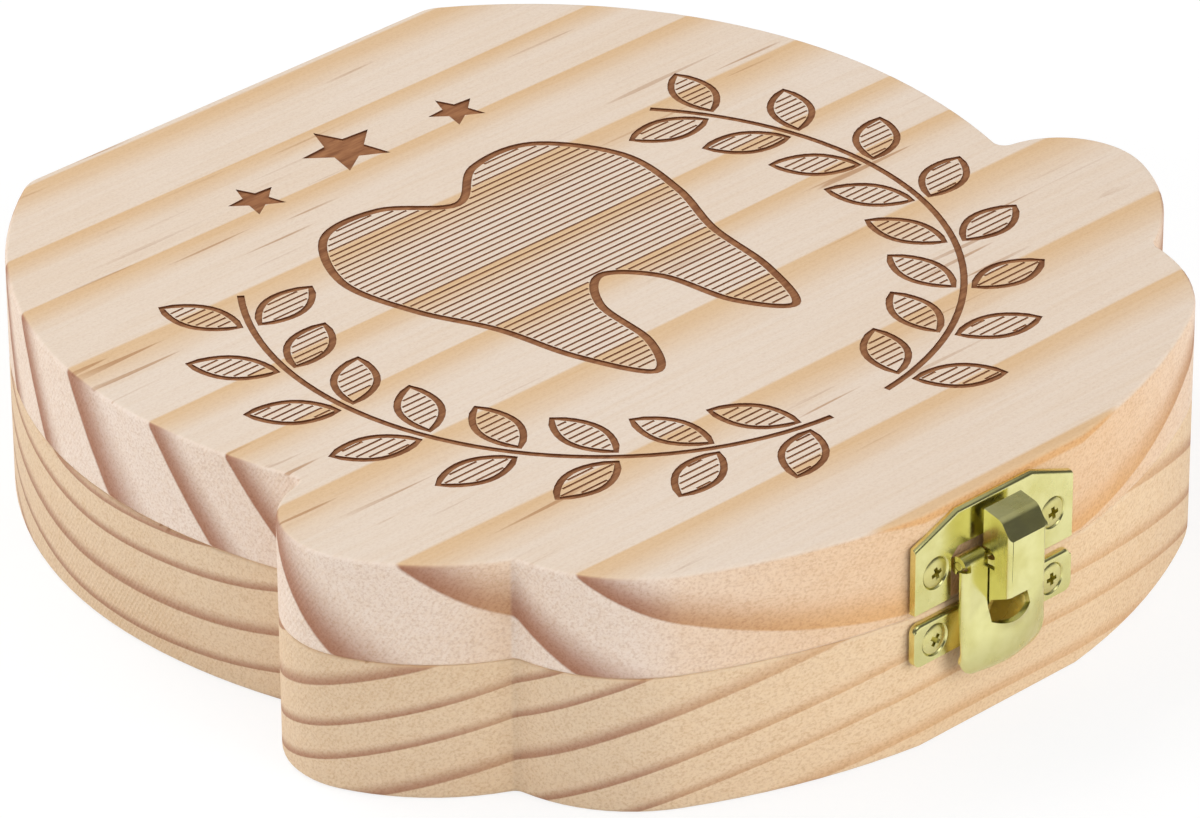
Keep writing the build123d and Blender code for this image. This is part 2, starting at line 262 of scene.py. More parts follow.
def noise(tree, point, scale, detail=2.0, roughness=0.5, output="Fac"):
    """Smooth noise with scale features per metre along X, Y and Z."""
    place = scaled(tree, point, scale)
    inputs = {"Vector": place, "Scale": 1.0, "Detail": detail, "Roughness": roughness}
    return link_node(tree, "ShaderNodeTexNoise", inputs).outputs[output]


def srgb(red, green, blue):
    """A colour given in 0 to 255 display values, as the linear colour that a shader takes."""
    linear = []
    for value in (red, green, blue):
        share = value / 255
        linear.append(share / 12.92 if share <= 0.04045 else ((share + 0.055) / 1.055) ** 2.4)
    return (*linear, 1.0)


def new_material(name):
    """A material with one Principled shader, as (material, its tree, the shader)."""
    material = bpy.data.materials.new(name)
    material.use_nodes = True
    tree = material.node_tree
    return material, tree, tree.nodes["Principled BSDF"]


def bump(tree, shader, height, distance, strength=1.0, under=None):
    """Bumps the shader's normal by a height of 0 to 1 that stands for distance."""
    inputs = {"Height": height, "Distance": distance, "Strength": strength}
    if under:
        inputs["Normal"] = under
    made = link_node(tree, "ShaderNodeBump", inputs)
    tree.links.new(made.outputs[0], shader.inputs["Normal"])
    return made.outputs[0]


def pine(name, pith, ring_width, ring_drift, late_share, tones):
    """Sanded pine, sawn from a log whose axis runs along X through pith, a point (y, z).
    Each ring darkens outward and ends in a sharp edge. tones holds the colours of early and late
    wood along the grain and at the end grain, and those that are multiplied over them."""
    material, tree, shader = new_material(name)
    spot = link_node(tree, "ShaderNodeTexCoord")
    point = spot.outputs["Object"]
    facing = link_node(tree, "ShaderNodeSeparateXYZ", {0: spot.outputs["Normal"]})
    end_grain = fit(tree, calc(tree, "ABSOLUTE", facing.outputs["X"]), 0.15, 0.75, smooth=True)
    side_wall = fit(tree, calc(tree, "ABSOLUTE", facing.outputs["Z"]), 0.3, 0.8, 1.0, 0.0)

    slow = noise(tree, point, ring_drift_scale, detail=1.5, output="Color")
    centred = link_node(tree, "ShaderNodeVectorMath", {0: slow, 1: (0.5,) * 3}, operation="SUBTRACT")
    bend = centred.outputs[0]
    bent = link_node(
        tree,
        "ShaderNodeVectorMath",
        {0: bend, 1: (ring_drift,) * 3, 2: point},
        operation="MULTIPLY_ADD",
    ).outputs[0]
    at = link_node(tree, "ShaderNodeSeparateXYZ", {0: bent})
    across = calc(tree, "SUBTRACT", at.outputs["Y"], pith[0])
    above = calc(tree, "SUBTRACT", at.outputs["Z"], pith[1])
    across_squared = calc(tree, "MULTIPLY", across, across)
    above_squared = calc(tree, "MULTIPLY", above, above)
    radius = calc(tree, "SQRT", calc(tree, "ADD", across_squared, above_squared))
    beat = calc(tree, "SINE", calc(tree, "MULTIPLY", radius, 2 * pi / (ring_beat * ring_width)))
    rings = calc(tree, "MULTIPLY_ADD", beat, ring_beat_share, calc(tree, "DIVIDE", radius, ring_width))
    phase = calc(tree, "FRACT", rings)
    rise = fit(tree, phase, 1 - late_share, ring_edge_share, smooth=True)
    fall = fit(tree, phase, ring_edge_share, 1.0, 1.0, 0.0)
    late = calc(tree, "MULTIPLY", rise, fall)

    fibre = noise(tree, point, fibre_scale, detail=3.0, roughness=0.6)
    speckle = noise(tree, point, speckle_scale, detail=2.0, roughness=0.7)
    cloud = noise(tree, point, cloud_scale, detail=2.0)
    pore_noise = noise(tree, point, pore_scale, detail=0.0)
    pores = fit(tree, pore_noise, 0.70, 0.76, smooth=True)
    patchy = noise(tree, point, pore_patch_scale, detail=1.0)
    pores = calc(tree, "MULTIPLY", pores, fit(tree, patchy, 0.5, 0.62))
    pores = calc(tree, "MULTIPLY", pores, fit(tree, side_wall, 0, 1, 1.0, 0.12))

    long_grain = mix(tree, late, tones["early"], tones["late"])
    cross_grain = mix(tree, late, tones["end_early"], tones["end_late"])
    colour = mix(tree, end_grain, long_grain, cross_grain)
    front_wall = calc(tree, "MULTIPLY", side_wall, calc(tree, "SUBTRACT", 1.0, end_grain))
    colour = mix(tree, front_wall, colour, tones["front"], "MULTIPLY")
    colour = mix(tree, fit(tree, cloud, 0.35, 0.7, 0.0, 0.55), colour, tones["cloud"], "MULTIPLY")
    colour = mix(tree, fit(tree, fibre, 0.42, 0.72, 0.0, 0.5), colour, tones["fibre"], "MULTIPLY")
    grit = calc(tree, "MULTIPLY", fit(tree, speckle, 0.45, 0.68), fit(tree, side_wall, 0, 1, 0.2, 0.6))
    colour = mix(tree, grit, colour, tones["speckle"], "MULTIPLY")
    colour = mix(tree, calc(tree, "MULTIPLY", pores, 0.7), colour, tones["pore"], "MULTIPLY")
    tree.links.new(fit(tree, fibre, 0.3, 0.7, 0.58, 0.75), shader.inputs["Roughness"])
    shader.inputs["Specular IOR Level"].default_value = 0.3

    at_place = link_node(tree, "ShaderNodeSeparateXYZ", {0: point})
    turn = calc(tree, "ARCTAN2", at_place.outputs["Y"], at_place.outputs["X"])
    travel = calc(tree, "MULTIPLY", turn, wall_radius)
    slant = calc(tree, "MULTIPLY_ADD", at_place.outputs["Z"], mill_slant, travel)
    ripple = calc(tree, "SINE", calc(tree, "MULTIPLY", slant, 2 * pi / mill_pitch))
    mill_share = calc(tree, "MULTIPLY", side_wall, fit(tree, cloud, 0.4, 0.6, 0.2, 1.0))
    milled = calc(tree, "MULTIPLY", ripple, mill_share)
    # Painted shade: the walls take the fibre tone along the milling ripple, on top of its bump.
    painted_ridge_shade = calc(tree, "MULTIPLY", milled, 0.35, clamp=True)
    colour = mix(tree, painted_ridge_shade, colour, tones["fibre"], "MULTIPLY")
    tree.links.new(colour, shader.inputs["Base Color"])
    grain = calc(tree, "MULTIPLY_ADD", speckle, 0.7, fibre)
    first = bump(tree, shader, grain, grain_height, 0.6)
    bump(tree, shader, milled, mill_height, 0.8, first)
    return material


def burnt():
    """The floor and walls of the burnt lines."""
    material, tree, shader = new_material("burnt_line")
    spot = link_node(tree, "ShaderNodeTexCoord")
    point = spot.outputs["Object"]
    facing = link_node(tree, "ShaderNodeSeparateXYZ", {0: spot.outputs["Normal"]})
    floor = fit(tree, facing.outputs["Z"], 0.3, 0.9)
    char = noise(tree, point, char_scale, detail=3.0, roughness=0.65)
    toast = mix(tree, fit(tree, char, 0.35, 0.65), srgb(138, 88, 56), srgb(172, 120, 82))
    colour = mix(tree, floor, srgb(104, 62, 38), toast)
    tree.links.new(colour, shader.inputs["Base Color"])
    tree.links.new(fit(tree, char, 0.3, 0.7, 0.65, 0.9), shader.inputs["Roughness"])
    shader.inputs["Specular IOR Level"].default_value = 0.2
    bump(tree, shader, char, char_height, 0.8)
    return material


def brass(name, bright, dull, roughness, brush):
    """Bright brass plating on pressed steel. brush is the direction of its fine scratches, in
    features per metre along X, Y and Z."""
    material, tree, shader = new_material(name)
    point = link_node(tree, "ShaderNodeTexCoord").outputs["Object"]
    haze = noise(tree, point, haze_scale, detail=3.0, roughness=0.6)
    scratch = noise(tree, point, brush, detail=2.0, roughness=0.6)
    pits = noise(tree, point, pit_scale, detail=1.0)
    colour = mix(tree, fit(tree, haze, 0.35, 0.7), bright, dull)
    tree.links.new(colour, shader.inputs["Base Color"])
    hazy = fit(tree, haze, 0.3, 0.7, roughness - 0.04, roughness + 0.08)
    rough = calc(tree, "ADD", hazy, fit(tree, scratch, 0.5, 0.75, 0.0, 0.08))
    tree.links.new(rough, shader.inputs["Roughness"])
    shader.inputs["Metallic"].default_value = 1.0
    pitted = calc(tree, "ADD", haze, calc(tree, "MULTIPLY", pits, 0.2))
    worn = calc(tree, "MULTIPLY_ADD", scratch, 0.5, pitted)
    bump(tree, shader, worn, wear_height, 0.35)
    return material


lid_tones = {
    "early": srgb(236, 219, 202),
    "late": srgb(228, 194, 153),
    "end_early": srgb(237, 220, 206),
    "end_late": srgb(170, 122, 98),
    "front": srgb(252, 234, 210),
    "cloud": srgb(252, 247, 240),
    "fibre": srgb(247, 240, 230),
    "speckle": srgb(224, 208, 196),
    "pore": srgb(200, 164, 128),
}
base_tones = dict(
    lid_tones,
    early=srgb(236, 214, 184),
    late=srgb(222, 188, 150),
    end_early=srgb(226, 202, 172),
    end_late=srgb(178, 136, 110),
    front=srgb(254, 248, 240),
)
brass_tones = {
    "brass_sheet": (srgb(236, 232, 166), srgb(222, 216, 140), 0.2, (300, 2600, 300)),
    "brass_screw": (srgb(234, 228, 160), srgb(210, 200, 124), 0.26, (900, 900, 900)),
    "brass_pin": (srgb(230, 224, 154), srgb(206, 196, 120), 0.24, (200, 2400, 2400)),
}
materials = {
    "pine_lid": pine("pine_lid", (-110 * mm, 107 * mm), 10.4 * mm, 2.4 * mm, 0.5, lid_tones),
    "pine_base": pine("pine_base", (14 * mm, 116 * mm), 4.4 * mm, 2.8 * mm, 0.34, base_tones),
}
for slot, values in brass_tones.items():
    materials[slot] = brass(slot, *values)
burnt_line = burnt()


def clean_bmesh(node):
    """A node's mesh with its split corners joined and its flat faces made whole."""
    work = bmesh.new()
    work.from_mesh(nodes[node].data)
    bmesh.ops.remove_doubles(work, verts=work.verts, dist=tiny)
    bmesh.ops.dissolve_limit(work, angle_limit=flat_angle, verts=work.verts, edges=work.edges)
    return work


def add_object(name, work, *slots):
    """Makes an object of a bmesh, smooth but for edges sharper than sharp_angle."""
    mesh = bpy.data.meshes.new(name)
    work.to_mesh(mesh)
    work.free()
    if "custom_normal" in mesh.attributes:
        mesh.attributes.remove(mesh.attributes["custom_normal"])
    for material in slots:
        mesh.materials.append(material)
    mesh.shade_smooth()
    mesh.set_sharp_from_angle(angle=sharp_angle)
    made = bpy.data.objects.new(name, mesh)
    bpy.context.scene.collection.objects.link(made)
    return made


def apply_modifiers(thing):
    """Makes the modifiers' result the object's own mesh."""
    graph = bpy.context.evaluated_depsgraph_get()
    mesh = bpy.data.meshes.new_from_object(thing.evaluated_get(graph))
    thing.modifiers.clear()
    thing.data = mesh


def carve(thing, cutter, material_mode="INDEX", operation="DIFFERENCE"):
    """Cuts cutter, whose solids may overlap, out of thing, or joins it on, and removes it."""
    cut = thing.modifiers.new("cut", "BOOLEAN")
    cut.operation = operation
    cut.solver = "EXACT"
    cut.use_self = True
    cut.material_mode = material_mode
    cut.object = cutter
    apply_modifiers(thing)
    bpy.data.objects.remove(cutter)
    thing.data.set_sharp_from_angle(angle=sharp_angle)


def stand_for(thing, node):
    """thing takes a node's place and body."""
    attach(thing, body_of_node[node])
    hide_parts(node)


def eased_board(node):
    """A board with its top and bottom rims and the mouths of its pits rounded."""
    work = clean_bmesh(node)
    levels = [corner.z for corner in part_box(node)]
    rims = [
        edge
        for edge in work.edges
        if edge.calc_face_angle(0) > sharp_angle
        and any(all(abs(v.co.z - level) < tiny for v in edge.verts) for level in levels)
    ]
    bmesh.ops.bevel(work, geom=rims, offset=board_bevel, segments=3, profile=0.5, affect="EDGES")
    return work


def rounded_metal(node, width, work=None):
    """A node's shape, or work in its place, with rolled edges in place of its sharp ones."""
    made = add_object(node + "_finished", work or clean_bmesh(node), materials[slot_of_node[node]])
    bevel = made.modifiers.new("edges", "BEVEL")
    bevel.width = width
    bevel.segments = 3
    bevel.limit_method = "ANGLE"
    bevel.angle_limit = sharp_angle
    bevel.use_clamp_overlap = True
    weighted = made.modifiers.new("normals", "WEIGHTED_NORMAL")
    weighted.keep_sharp = True
    apply_modifiers(made)
    stand_for(made, node)


def closed_curve(points, steps):
    """A smooth closed line through points, as steps points for each span."""
    count = len(points)
    line = []
    for i in range(count):
        a, b, c, d = (Vector(points[(i + k) % count]) for k in (-1, 0, 1, 2))
        for step in range(steps):
            t = step / steps
            slope, arch, twist = c - a, 2 * a - 5 * b + 4 * c - d, 3 * b - a - 3 * c + d
            line.append(0.5 * (2 * b + slope * t + arch * t**2 + twist * t**3))
    return line


def offset(line, distance):
    """A closed line moved to its left by distance."""
    moved = []
    for i, point in enumerate(line):
        way = (line[(i + 1) % len(line)] - line[i - 1]).normalized()
        moved.append(point + Vector((-way.y, way.x)) * distance)
    return moved


def add_prism(work, outer, inner=None, depth=groove_depth):
    """Adds a closed cutting solid over the lid's top, ring-shaped where inner is given."""
    floor, top = lid_top - depth, lid_top + groove_depth
    loops = []
    for line in (outer, inner):
        if line:
            low = [work.verts.new((p.x, p.y, floor)) for p in line]
            high = [work.verts.new((p.x, p.y, top)) for p in line]
            loops.append((low, high))
    for low, high in loops:
        count = len(low)
        for i in range(count):
            j = (i + 1) % count
            work.faces.new((low[i], low[j], high[j], high[i]))
    if inner:
        (low_a, high_a), (low_b, high_b) = loops
        count = len(low_a)
        for i in range(count):
            j = (i + 1) % count
            work.faces.new((low_a[i], low_b[i], low_b[j], low_a[j]))
            work.faces.new((high_a[i], high_a[j], high_b[j], high_b[i]))
    else:
        low, high = loops[0]
        work.faces.new(list(reversed(low)))
        work.faces.new(high)


def add_line(work, line, width):
    """Adds a cutter that follows a closed line."""
    add_prism(work, offset(line, width / 2), offset(line, -width / 2))


def add_hatching(work, line):
    """Adds cutters for lines along X that fill a closed line."""
    low = min(p.y for p in line)
    high = max(p.y for p in line)
    rows = int((high - low) / hatch_pitch)
    start = (low + high - rows * hatch_pitch) / 2
    for row in range(rows + 1):
        y = start + row * hatch_pitch
        crossings = []
        for i, a in enumerate(line):
            b = line[i - 1]
            if (a.y > y) != (b.y > y):
                crossings.append(a.x + (b.x - a.x) * (y - a.y) / (b.y - a.y))
        crossings.sort()
        for left, right in zip(crossings[::2], crossings[1::2]):
            if right - left > 4 * hatch_width:
                half = hatch_width / 2
                corners = [(left, y - half), (right, y - half), (right, y + half), (left, y + half)]
                add_prism(work, [Vector(c) for c in corners], depth=hatch_depth)


def hatched_shape(work, line, width):
    """Adds a burnt line with a hatched inside. line runs anticlockwise."""
    add_line(work, line, width)
    add_hatching(work, offset(line, width / 2 + hatch_margin))


# The design: a molar between two sprigs, under three stars. Shares are of half the tooth's size.
tooth_centre = Vector((0, 5 * mm))
tooth_half_width = 21 * mm
tooth_half_height = 24 * mm
tooth_right_shares = [
    (0.00, 0.74), (0.34, 0.95), (0.74, 0.93), (1.00, 0.56), (0.94, 0.14), (0.77, -0.24), (0.68, -0.66),
    (0.50, -1.00), (0.30, -0.78), (0.22, -0.40),
]
tooth_crotch_share = (0.00, -0.20)
sprig_centre = Vector((0, 0))
sprig_radius = 39 * mm
sprig_start = -84
sprig_end = 38
sprig_leaves = 8
leaf_length = 9.6 * mm
leaf_half_width = 2.3 * mm
leaf_fullness = 0.8
leaf_lean = 48
leaf_foot_out = 1.1 * mm
leaf_first_share = 0.35
star_inner_share = 0.45
star_places = [(0, 41 * mm, 5.2 * mm), (-15 * mm, 39 * mm, 3.4 * mm), (15 * mm, 39 * mm, 3.4 * mm)]


def tooth_line():
    """The molar's outline, anticlockwise."""
    right = tooth_right_shares
    left = [(-x, y) for x, y in reversed(right[1:])]
    shares = list(reversed(right + [tooth_crotch_share] + left))
    places = [tooth_centre + Vector((x * tooth_half_width, y * tooth_half_height)) for x, y in shares]
    return closed_curve(places, 10)


def leaf_line(foot, direction):
    """A pointed leaf from foot, in a direction in degrees, anticlockwise."""
    along = Vector((cos(radians(direction)), sin(radians(direction))))
    aside = Vector((-along.y, along.x))
    steps = 10
    line = []
    for side in (-1, 1):
        for step in range(steps):
            t = step / steps if side < 0 else 1 - step / steps
            bulge = sin(pi * t) ** leaf_fullness if 0 < t < 1 else 0.0
            line.append(foot + along * leaf_length * t + aside * side * leaf_half_width * bulge)
    return line


def star_line(x, y, radius):
    """A five-pointed star, anticlockwise."""
    line = []
    for i in range(10):
        angle = radians(90 + 36 * i)
        reach = radius if i % 2 == 0 else star_inner_share * radius
        line.append(Vector((x + reach * cos(angle), y + reach * sin(angle))))
    return line


def stem_line(side):
    """A sprig's stem, as a thin closed strip along its arc, anticlockwise."""
    steps = 40
    arcs = []
    for reach in (sprig_radius + fine_line_width / 2, sprig_radius - fine_line_width / 2):
        arc = []
        for step in range(steps + 1):
            angle = radians(sprig_start + (sprig_end - sprig_start) * step / steps)
            arc.append(sprig_centre + Vector((side * reach * cos(angle), reach * sin(angle))))
        arcs.append(arc)
    strip = arcs[0] + list(reversed(arcs[1]))
    return strip if side > 0 else list(reversed(strip))


def linework():
    """Every burnt line of the lid, as one mesh of cutting solids."""
    work = bmesh.new()
    hatched_shape(work, tooth_line(), line_width)
    for side in (1, -1):
        add_prism(work, stem_line(side))
        for count in range(sprig_leaves):
            share = (count + leaf_first_share) / sprig_leaves
            angle = sprig_start + (sprig_end - sprig_start) * share
            for lean, out in ((leaf_lean, -1), (-leaf_lean, 1)):
                reach = sprig_radius + out * leaf_foot_out
                foot = sprig_centre + Vector(
                    (side * reach * cos(radians(angle)), reach * sin(radians(angle)))
                )
                direction = angle + 90 + lean
                if side < 0:
                    direction = 180 - direction
                hatched_shape(work, leaf_line(foot, direction), fine_line_width)
    for x, y, radius in star_places:
        add_prism(work, star_line(x, y, radius))
    bmesh.ops.recalc_face_normals(work, faces=work.faces)
    return work


def carved_lid():
    """The lid with its burnt lines cut in."""
    lid = add_object("lid_board_carved", eased_board("lid_board"), materials["pine_lid"])
    carve(lid, add_object("linework", linework(), burnt_line), "TRANSFER")
    weighted = lid.modifiers.new("normals", "WEIGHTED_NORMAL")
    weighted.keep_sharp = True
    apply_modifiers(lid)
    stand_for(lid, "lid_board")


lid_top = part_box("lid_board")[1].z
carved_lid()
base = add_object("base_block_eased", eased_board("base_block"), materials["pine_base"])
stand_for(base, "base_block")


def add_turning(work, profile, place):
    """Adds a round solid. profile holds (radius, height) from the middle of its top to its tip."""
    around = 32
    loops = []
    for reach, height in profile:
        if reach == 0:
            loops.append([work.verts.new(place @ Vector((0, 0, height)))])
        else:
            angles = [2 * pi * i / around for i in range(around)]
            points = [Vector((reach * cos(a), reach * sin(a), height)) for a in angles]
            loops.append([work.verts.new(place @ point) for point in points])
    for a, b in zip(loops, loops[1:]):
        for i in range(around):
            j = (i + 1) % around
            corners = [a[i % len(a)], a[j % len(a)], b[j % len(b)], b[i % len(b)]]
            work.faces.new(list(dict.fromkeys(corners)))


def add_cross(work, reach, top, bottom, place, turn):
    """Adds the cutting solid of a tapered cross recess."""
    for spin in (turn, turn + pi / 2):
        rotation = Matrix.Rotation(spin, 4, "Z")
        corners = []
        ends = (
            (top, reach, cross_top_half_width * reach),
            (bottom, cross_foot_reach * reach, cross_foot_half_width * reach),
        )
        for height, length, half_width in ends:
            for x, y in ((1, 1), (-1, 1), (-1, -1), (1, -1)):
                point = rotation @ Vector((x * length, y * half_width, height))
                corners.append(work.verts.new(place @ point))
        walls = [(i, (i + 1) % 4, (i + 1) % 4 + 4, i + 4) for i in range(4)]
        for face in [(3, 2, 1, 0), (4, 5, 6, 7)] + walls:
            work.faces.new([corners[i] for i in face])


def finished_screws(node, outward, sunk, turns):
    """Replaces a node of two screws by cross-head ones. outward is 1 at the back, -1 at the front."""
    low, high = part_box(node)
    cad_head = (high.z - low.z) / 2
    head = sunk_head_share * cad_head if sunk else cad_head
    outer = high.y if outward > 0 else low.y
    length = high.y - low.y
    if sunk:
        face, rim = outer, -sunk_depth
        shank = sunk_shank_share * head
        under = [(shank, rim - sunk_cone_share * head), (shank, screw_tip_share * head - length)]
    else:
        face, rim = outer - outward * raised_head_height, raised_rim_share * raised_head_height
        length -= raised_head_height
        shank = raised_shank_share * head
        under = [(head, 0), (shank, 0), (shank, screw_tip_share * head - length)]
    dome = screw_dome_share * head
    top = [(head * sin(a), rim + dome * cos(a)) for a in (0, pi / 8, pi / 4, 3 * pi / 8)]
    profile = top + [(head, rim)] + under + [(0, -length)]
    bodies, cutters = bmesh.new(), bmesh.new()
    for x, turn in zip((low.x + cad_head, high.x - cad_head), turns):
        out = Matrix.Rotation(radians(-90 * outward), 4, "X")
        place = Matrix.Translation((x, face, (low.z + high.z) / 2)) @ out
        add_turning(bodies, profile, place)
        recess = recess_share * head
        add_cross(cutters, recess, rim + 2 * dome, rim + dome - recess, place, turn)
    for work in (bodies, cutters):
        bmesh.ops.recalc_face_normals(work, faces=work.faces)
    made = add_object(node + "_finished", bodies, materials["brass_screw"])
    carve(made, add_object("recess", cutters, materials["brass_screw"]))
    stand_for(made, node)


def rimmed_plate(node):
    """A latch plate with the front rim of its upper edges rolled."""
    work = clean_bmesh(node)
    front = wood_front - plate_thickness
    rims = []
    for edge in work.edges:
        in_front = all(abs(vertex.co.y - front) < tiny for vertex in edge.verts)
        sides = [vertex.co.x - latch_x for vertex in edge.verts]
        outer = max(abs(side) for side in sides) > lever_half or sides[0] * sides[1] < 0
        upward = any(face.normal.z > 0.3 and abs(face.normal.y) < 0.1 for face in edge.link_faces)
        if in_front and upward and outer and edge.is_convex:
            rims.append(edge)
    bmesh.ops.bevel(work, geom=rims, offset=plate_rim, segments=4, profile=0.5, affect="EDGES")
    rounded_metal(node, pin_bevel, work)


def latch_place(x, out, up):
    """A place from the latch's middle, the wood's front and the seam."""
    return Vector((latch_x + x, wood_front - out, seam_z + up))


def lever_front(x, up):
    """How far the lever's sheet stands out: flat arms that swell into the domed tab."""
    from_top = (x**2 + (up - lever_dome_up) ** 2) / (2 * lever_dome_radius)
    dome = lever_dome_out - from_top - lever_arm_out
    swell = (dome + (dome**2 + lever_swell_softness**2) ** 0.5) / 2
    fade = min(max((lever_swell_top - up) / (lever_swell_top - lever_window_up), 0.0), 1.0)
    return lever_arm_out + swell * fade**2 * (3 - 2 * fade)


def lever_back(up):
    """How far out the rear edges of the sheet's sides lie: farther towards the bottom."""
    share = min(max((ear_up - up) / (ear_up - lever_back_bottom), 0.0), 1.0)
    return lever_back_high + (lever_back_low - lever_back_high) * share


def lever_point(row, column):
    """The sheet's outer face at a row and a column of its grid, None where it is cut away."""
    kind, along = row
    x, bend, flange = column
    width = abs(x)
    in_window = width < lever_window_half - tiny
    relieved = kind == "roll" and flange > 0 or kind == "arm" and bend > 0 and along > lever_flange_up
    if kind != "tab" and in_window or relieved:
        return None
    if kind == "roll":
        return latch_place(x, pivot_out + eye_radius * cos(along), pivot_up + eye_radius * sin(along))
    if kind == "tab":
        straight = max(width - (lever_half - lever_corner), 0.0)
        low = lever_low + lever_corner - (lever_corner**2 - min(straight, lever_corner) ** 2) ** 0.5
        sag = lever_window_sag * (1 - (x / lever_window_half) ** 2) if in_window else 0.0
        high = lever_window_up - sag
        up = low + (high - low) * along
    else:
        up = along
    front = lever_front(x, up)
    side_bend = min(lever_side_bend, front - lever_back(up))
    depth = side_bend * (1 - cos(bend * pi / 2))
    if kind == "tab":
        depth += lever_curl * max(1 - (up - low) / lever_curl_reach, 0.0) ** 2
        if in_window:
            middle = 1 - (x / lever_window_half) ** 2
            depth -= lever_lip * middle * max(1 - (high - up) / lever_lip_reach, 0.0) ** 2
        flange *= min(along / lever_flange_rise_share, 1.0)
    depth += flange * (front - side_bend - lever_back(up))
    return latch_place(x, front - depth, up)


def lever_rows():
    """The sheet's rows, as (part, how far along it) from the tab's end to the roll's."""
    tab_steps, arm_steps, roll_steps = 16, 12, 16
    arm_length = pivot_up - lever_window_up
    rows = [("tab", (i / tab_steps) ** lever_row_crowding) for i in range(tab_steps + 1)]
    rows += [("arm", lever_window_up + arm_length * i / arm_steps) for i in range(1, arm_steps + 1)]
    rows += [("roll", lever_roll_turn * i / roll_steps) for i in range(1, roll_steps + 1)]
    return rows


def lever_columns():
    """The sheet's columns, as (x, share of the side bend, share of the flange) from left to right."""
    window_steps, arm_steps, bend_steps, flange_steps = 6, 4, 5, 3
    flat = lever_half - lever_side_bend
    arm_width = flat - lever_window_half
    right = [(lever_window_half * i / window_steps, 0.0, 0.0) for i in range(window_steps + 1)]
    for i in range(1, arm_steps + 1):
        right.append((lever_window_half + arm_width * i / arm_steps, 0.0, 0.0))
    for i in range(1, bend_steps + 1):
        right.append((flat + lever_side_bend * sin(i / bend_steps * pi / 2), i / bend_steps, 0.0))
    right += [(lever_half, 1.0, i / flange_steps) for i in range(1, flange_steps + 1)]
    return [(-x, bend, flange) for x, bend, flange in reversed(right[1:])] + right


def lever_ears():
    """The two ears behind the window's sides, as solids."""
    work = bmesh.new()
    arc_steps = 12
    root = lever_arm_out - lever_thickness / 2
    for side in (-1, 1):
        arc = [pi / 2 + pi * i / arc_steps for i in range(arc_steps + 1)]
        outline = [(ear_out + ear_radius * cos(a), ear_up + ear_radius * sin(a)) for a in arc]
        outline += [(root, ear_up - ear_radius), (root, ear_up + ear_radius)]
        loops = []
        for shift in (ear_gap, ear_thickness):
            x = side * (lever_window_half + shift)
            loops.append([work.verts.new(latch_place(x, out, up)) for out, up in outline])
        count = len(outline)
        for i in range(count):
            j = (i + 1) % count
            work.faces.new((loops[0][i], loops[0][j], loops[1][j], loops[1][i]))
        work.faces.new(loops[0])
        work.faces.new(loops[1])
    bmesh.ops.recalc_face_normals(work, faces=work.faces)
    return work


def bent_lever():
    """The lever as one pressed sheet: a domed tab, side flanges and two arms rolled round the pin,
    with the ears that carry the hook."""
    columns = lever_columns()
    work = bmesh.new()
    grid = []
    for row in lever_rows():
        points = [lever_point(row, column) for column in columns]
        grid.append([point and work.verts.new(point) for point in points])
    for below, above in zip(grid, grid[1:]):
        for j in range(len(columns) - 1):
            corners = [below[j], below[j + 1], above[j + 1], above[j]]
            if all(corners):
                work.faces.new(corners)
    made = add_object("latch_lever_sheet", work, materials["brass_sheet"])
    solidify = made.modifiers.new("sheet", "SOLIDIFY")
    solidify.thickness = lever_thickness
    solidify.offset = -1
    solidify.use_even_offset = True
    apply_modifiers(made)
    carve(made, add_object("ears", lever_ears(), materials["brass_sheet"]), operation="UNION")
    work = bmesh.new()
    work.from_mesh(made.data)
    bpy.data.objects.remove(made)
    rounded_metal("latch_lever", sheet_bevel, work)


def bent_hook():
    """The hook with its roof bent round at the fold instead of creased."""
    work = clean_bmesh("latch_hook")
    fold = latch_place(0, hook_fold_out, hook_fold_up)
    folds = []
    for edge in work.edges:
        if all(abs(v.co.y - fold.y) < tiny and abs(v.co.z - fold.z) < tiny for v in edge.verts):
            folds.append(edge)
    bmesh.ops.bevel(work, geom=folds, offset=hook_bend_width, segments=5, profile=0.5, affect="EDGES")
    rounded_metal("latch_hook", sheet_bevel, work)


seam_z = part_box("base_block")[1].z
wood_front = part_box("latch_catch_plate")[1].y
lever_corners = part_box("latch_lever")
latch_x = (lever_corners[0].x + lever_corners[1].x) / 2
lever_half = (lever_corners[1].x - lever_corners[0].x) / 2
lever_low = lever_corners[0].z - seam_z
bent_lever()
bent_hook()
rimmed_plate("latch_catch_plate")
rimmed_plate("latch_base_plate")
for index, node in enumerate(sorted(n for n in nodes if n.endswith("_screws"))):
    at_back = node.startswith("hinge")
    turns = [first + step * index for first, step in screw_turns]
    finished_screws(node, 1 if at_back else -1, not at_back, turns)
for node in sorted(nodes):
    if slot_of_node[node] == "brass_sheet" and node.startswith("hinge"):
        rounded_metal(node, sheet_bevel)
    elif slot_of_node[node] == "brass_pin":
        rounded_metal(node, pin_bevel)


def camera():
    """The photograph's camera, placed so that the frame's origin falls on frame_origin_px."""
    a, e, roll = camera_azimuth, camera_elevation, camera_roll
    back = Vector((sin(a) * cos(e), -cos(a) * cos(e), sin(e)))
    level = Vector((cos(a), sin(a), 0))
    upright = back.cross(level)
    right = level * cos(roll) + upright * sin(roll)
    up = upright * cos(roll) - level * sin(roll)
    shift_right = (frame_origin_px[0] - image_width / 2) / focal_length_px * camera_distance
    shift_up = (image_height / 2 - frame_origin_px[1]) / focal_length_px * camera_distance
    made = bpy.data.objects.new("camera", bpy.data.cameras.new("camera"))
    made.data.sensor_width = sensor_width_mm
    made.data.lens = focal_length_px * sensor_width_mm / image_width
    made.data.clip_end = camera_reach
    turn = Matrix((right, up, back)).transposed().to_4x4()
    eye = back * camera_distance - right * shift_right - up * shift_up
    made.matrix_world = Matrix.Translation(eye) @ turn
    bpy.context.scene.collection.objects.link(made)
    bpy.context.scene.camera = made


